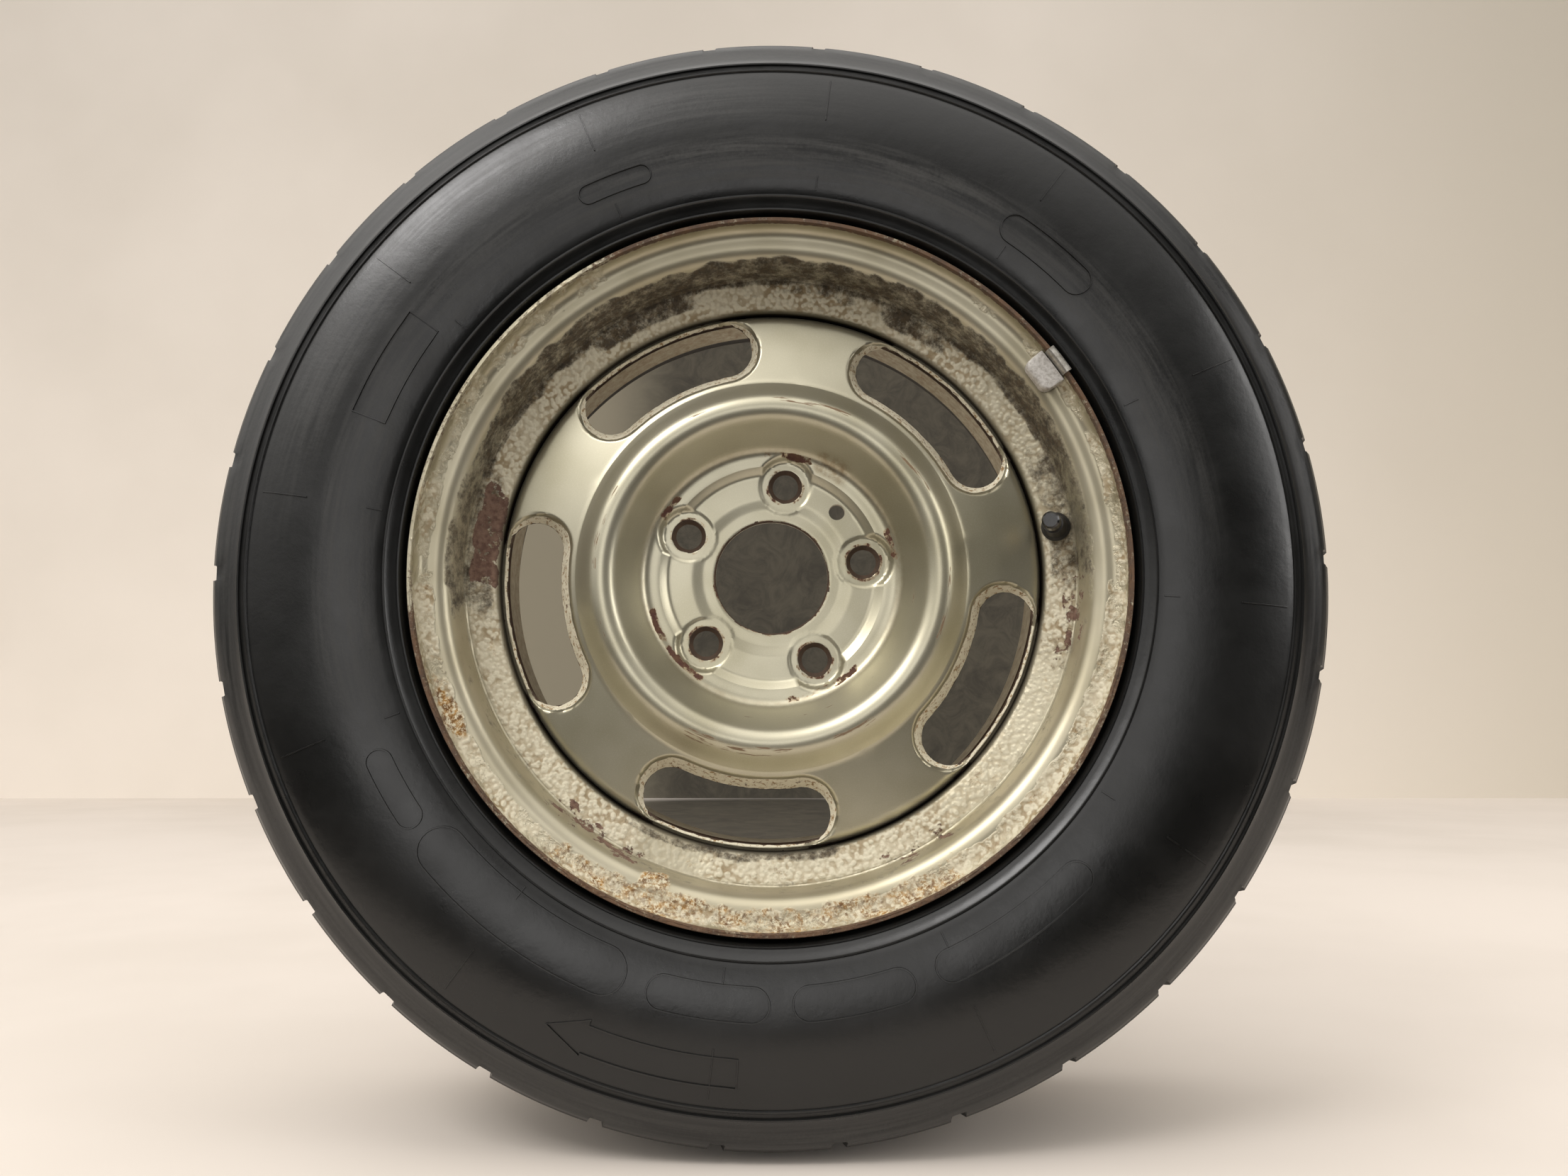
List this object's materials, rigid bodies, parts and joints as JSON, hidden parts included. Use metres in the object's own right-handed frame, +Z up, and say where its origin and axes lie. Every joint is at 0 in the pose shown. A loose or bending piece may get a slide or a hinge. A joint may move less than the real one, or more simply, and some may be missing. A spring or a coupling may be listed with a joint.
{
  "type": "car wheel with tyre",
  "caption": "Steel car wheel with a winter tyre: pressed disc with slots welded into a well-base rim, snap-in valve, clip-on weight.",
  "frame": {"origin": "centre of the wheel: on the wheel's axis, on the rim's middle plane", "axes": "Y along the wheel's axis with the outer face towards -Y, +Z up, +X to the right seen from outside"},
  "size_m": [0.6145, 0.187, 0.6146],
  "materials": {
    "tyre": "satin, lightly dusty",
    "paint": "aged silver paint with rust",
    "weld": "painted over, rusty",
    "rubber": "matte",
    "gasket": "matte",
    "brass": "turned",
    "steel": "zinc plated",
    "cap_plastic": "gloss",
    "weight_metal": "light grey"
  },
  "bodies": {
    "wheel": {"tyre": "tyre", "rim": "paint", "wheel_disc": "paint", "weld_seams": "weld", "valve_stem": "rubber", "valve_insert": "brass", "core_plug": "brass", "core_barrel": "brass", "barrel_gasket": "gasket", "core_spring": "steel", "balance_weight": "weight_metal", "weight_clip": "steel"},
    "valve_pin": {"core_pin": "steel", "pin_cup": "brass", "cup_washer": "rubber"},
    "cap_carrier": {"cap_seal": "rubber"},
    "cap": {"valve_cap": "cap_plastic"}
  },
  "joints": [
    {"name": "pin_press", "type": "slide", "parent": "wheel", "child": "valve_pin", "axis": [0.313, 0.9483, 0.0524], "range_m": [0, 0.0013], "stiffness_N_per_m": 900, "springref_m": -0.0012, "deforming": ["core_spring"]},
    {"name": "cap_lift", "type": "slide", "parent": "wheel", "child": "cap_carrier", "axis": [-0.313, -0.9483, -0.0524], "range_m": [0, 0.00714]},
    {"name": "cap_turn", "type": "hinge", "parent": "cap_carrier", "child": "cap", "pos_m": [0.16274, -0.04222, 0.02723], "axis": [-0.313, -0.9483, -0.0524], "range_deg": [0, 3300]}
  ],
  "couplings": [
    {"joint": "cap_turn", "follows": "cap_lift", "rad_per_m": 7913.3}
  ]
}
